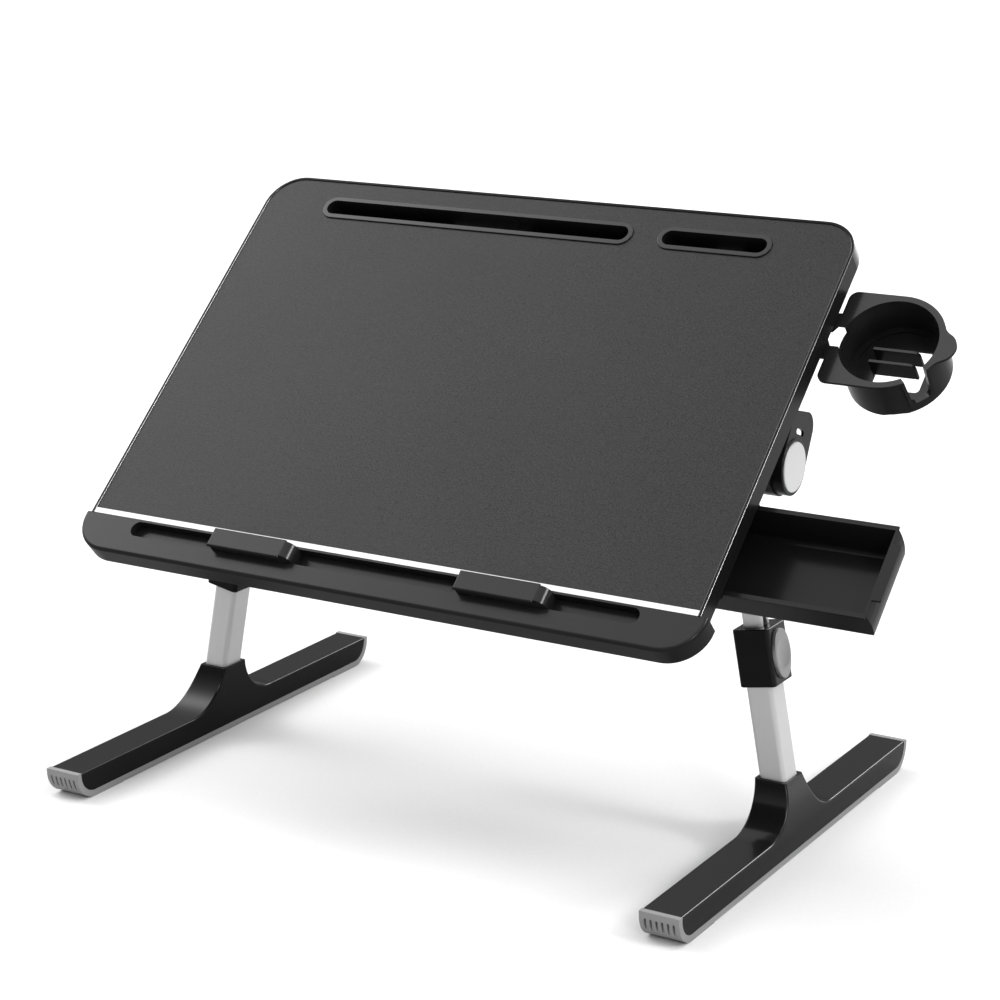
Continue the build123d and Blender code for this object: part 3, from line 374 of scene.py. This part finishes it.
def streaks(place, scale, detail):
    """Noise that is drawn out by a different scale along each axis."""
    stretched = place.node("Mapping", Vector=place, Scale=scale)
    return place.node("TexNoise", Vector=stretched, Scale=1.0, Detail=detail)


anodised, shader, place = material("pale_anodised_tube")
drawn = streaks(place, scale=(900.0, 900.0, 14.0), detail=2.0)
finish(
    shader,
    Base_Color=drawn.blend(dark=0.41, light=0.45),
    Metallic=0.35,
    Roughness=drawn.spread(low=0.38, high=0.46),
)
for side in sides:
    dress(anodised, side + "inner_tube", side + "outer_tube")

# Collars: glossy black blocks clamped on the upper ends of the outer tubes.
# Height buttons: dished oval buttons of brushed grey metal in the collars' outer faces.
collar_black = moulded("collar_black", level=0.004, rough=0.26, gloss=0.05, grain=0.0009)
brushed, shader, place = material("brushed_grey_button")
stroke = streaks(place, scale=(400.0, 2600.0, 120.0), detail=3.0)
finish(
    shader,
    Base_Color=stroke.blend(dark=0.16, light=0.24),
    Metallic=0.5,
    Roughness=stroke.spread(low=0.32, high=0.46),
    Normal=relief(stroke, depth=0.00002),
)
for side in sides:
    dress(collar_black, side + "collar")
    dress(brushed, side + "height_button")

# Feet: satin black shells, each moulded in one piece with the flared stem that holds the tube.
# A grey rubber sole is wrapped under each shell and up round its two ribbed ends.
shell_black = moulded("foot_black", level=0.005, rough=0.28, gloss=0.04, grain=0.0008, highlight_coat=0.32)
rubber = moulded("grey_rubber", level=0.19, rough=0.62, gloss=0.24, grain=0.0011)
for side in sides:
    dress(shell_black, side + "foot_shell")
    dress(rubber, side + "foot_sole")

# Drawer: a thin-walled black moulding that slides out on the user's right.
# Its rims run in the lips of two moulded runners, which are screwed under the board.
satin = moulded("satin_black_moulding", level=0.007, rough=0.32, gloss=0.03, grain=0.0009, highlight_coat=0.2)
dress(satin, "drawer", "front_drawer_runner", "rear_drawer_runner")

# Cup holder: one black moulding, a cup with a flange and two flat arms.
# The arms slide in the lips of the guide, which is screwed under the board.
cup_black = moulded("cup_black", level=0.009, rough=0.28, gloss=0.03, grain=0.0009, highlight_coat=0.45)
dress(cup_black, "cup_holder", "cup_guide")

# Screws: black-plated steel with domed heads and a cross recess.
# They hold the mouldings and are driven up into the board from below.
# Each ring of the dome is given by its shares of the head's radius and height.
head_ring_shares = ((1.0, 0.0), (1.0, 0.35), (0.93, 0.62), (0.75, 0.84), (0.45, 0.97))
head_sides = 28
recess_reach_share = 0.62
recess_width_share = 0.17
recess_depth_share = 0.6
weld_distance = 1e-6
screw_black, shader, place = material("black_screw")
plating = noise(place, size=0.0008)
finish(
    shader,
    Base_Color=plating.blend(dark=0.012, light=0.028),
    Metallic=0.7,
    Roughness=plating.spread(low=0.26, high=0.42),
)


def screw_head(radius, height):
    """The mesh of one domed head that points down from its seat, with the cross cut out of it."""
    form = bmesh.new()
    rings = []
    for across, rise in head_ring_shares:
        reach = across * radius
        ring = [(reach * x, reach * y, -rise * height) for x, y in circle(head_sides)]
        rings.append([form.verts.new(point) for point in ring])
    bridge_rings(form, rings)
    head = link("screw_head", to_mesh("screw_head", form))
    form = bmesh.new()
    size = Matrix.Diagonal(
        (
            2 * recess_reach_share * radius,
            2 * recess_width_share * radius,
            2 * recess_depth_share * height,
            1,
        )
    )
    for turn in (0, pi / 2):
        bar = Matrix.Rotation(turn, 4, "Z") @ Matrix.Translation((0, 0, -height))
        bmesh.ops.create_cube(form, size=1.0, matrix=bar @ size)
    cutter = link("screw_cross", to_mesh("screw_cross", form))
    cut = head.modifiers.new("cross", "BOOLEAN")
    cut.object = cutter
    cut.operation = "DIFFERENCE"
    cut.use_self = True
    bpy.context.view_layer.update()
    shaped = head.evaluated_get(bpy.context.evaluated_depsgraph_get())
    mesh = bpy.data.meshes.new_from_object(shaped)
    for spare in (head, cutter):
        bpy.data.objects.remove(spare)
    return mesh


def separate_solids(mesh):
    """The separate solids of a mesh, each as a list of points."""
    form = bmesh.new()
    form.from_mesh(mesh)
    bmesh.ops.remove_doubles(form, verts=form.verts, dist=weld_distance)
    seen = set()
    groups = []
    for start in form.verts:
        queue = [start]
        group = []
        while queue:
            vert = queue.pop()
            if vert not in seen:
                seen.add(vert)
                group.append(vert.co.copy())
                queue.extend(edge.other_vert(vert) for edge in vert.link_edges)
        if group:
            groups.append(group)
    form.free()
    return groups


tilt = next(joint for joint in frame["joints"] if joint["name"] == "left_tilt")
lay = Matrix.Rotation(-radians(tilt["range_deg"][0]), 3, "X")
up = lay @ Vector((0, 0, 1))
for group in ("bracket_screws", "runner_screws", "guide_screws", "ledge_screws", "tray_screws"):
    solids = separate_solids(frame["nodes"][group].data)
    first = solids[0]
    middle = sum(first, Vector()) / len(first)
    levels = [point.dot(up) for point in first]
    arms = [point - middle for point in first]
    radius = max((arm - arm.dot(up) * up).length for arm in arms)
    head_mesh = screw_head(radius, max(levels) - min(levels))
    form = bmesh.new()
    for solid in solids:
        seat = sum(solid, Vector()) / len(solid)
        seat += (max(point.dot(up) for point in solid) - seat.dot(up)) * up
        start = len(form.verts)
        form.from_mesh(head_mesh)
        form.verts.ensure_lookup_table()
        onto = Matrix.Translation(seat) @ lay.to_4x4()
        bmesh.ops.transform(form, matrix=onto, verts=form.verts[start:])
    heads = link(group + "_heads", to_mesh(group + "_heads", form))
    heads.data.materials.append(screw_black)
    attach(heads, "tabletop")
    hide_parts(group)

# Floor: a wide sheet of pale studio paper with a faint fibre.
# The table stands on it and its edges lie far outside the view.
floor_half = 40.0
corner_signs = ((-1, -1), (1, -1), (1, 1), (-1, 1))
floor_mesh = bpy.data.meshes.new("floor")
floor_corners = [(x * floor_half, y * floor_half, 0) for x, y in corner_signs]
floor_mesh.from_pydata(floor_corners, [], [range(len(floor_corners))])
floor = link("floor", floor_mesh)
paper, shader, place = material("pale_paper")
fibre = noise(place, size=0.004)
finish(
    shader,
    Base_Color=fibre.blend(dark=0.58, light=0.62),
    Roughness=0.9,
    Specular_IOR_Level=0.1,
)
floor_mesh.materials.append(paper)

# Light: a soft ceiling over a dim room, with four softboxes given by direction, focus and strength.
# The left one grades the top, the right two line its edge and corner, the rear one lines the feet.
sky_base = 0.12
sky_top = 2.35
softboxes = (
    ((-0.75, 0.0, 0.66), 28.0, 11.0),
    ((0.78, 0.02, 0.63), 160.0, 36.0),
    ((0.32, 0.83, 0.44), 120.0, 22.0),
    ((0.64, -0.62, 0.46), 160.0, 22.0),
)
world = bpy.data.worlds.new("studio")
world.use_nodes = True
bpy.context.scene.world = world
tree = world.node_tree
towards = Shade(tree, tree.nodes.new("ShaderNodeTexCoord").outputs["Generated"])
rise = towards.node("SeparateXYZ", output="Z", i0=towards).at_least(0.0)
glow = sky_base + sky_top * rise * rise
for direction, focus, strength in softboxes:
    aim = Vector(direction).normalized()
    near = towards.node("VectorMath", {"operation": "DOT_PRODUCT"}, "Value", i0=towards, i1=aim)
    glow = glow + strength * near.at_least(0.0) ** focus
plug(tree.nodes["Background"].inputs["Color"], (1, 1, 1))
plug(tree.nodes["Background"].inputs["Strength"], glow)

# Camera: at the photograph's angle, from in front of the user's right and a little above.
# It was fitted to the edges of the top and keeps its place to the middle of the board.
camera_aside = 1.11624
camera_back = 1.84294
camera_height = 0.84252
camera_turn = 30.8
camera_dip = 15.02
board_low, board_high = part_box("top_panel")
camera = bpy.data.objects.new("camera", bpy.data.cameras.new("camera"))
camera.data.lens = 91.155
camera.data.sensor_width = 36.0
camera.location = ((board_low[0] + board_high[0]) / 2 + camera_aside, -camera_back, camera_height)
camera.rotation_euler = Euler((radians(90 - camera_dip), 0, radians(camera_turn)))
bpy.context.scene.collection.objects.link(camera)
bpy.context.scene.camera = camera
bpy.context.scene.view_settings.view_transform = "Standard"
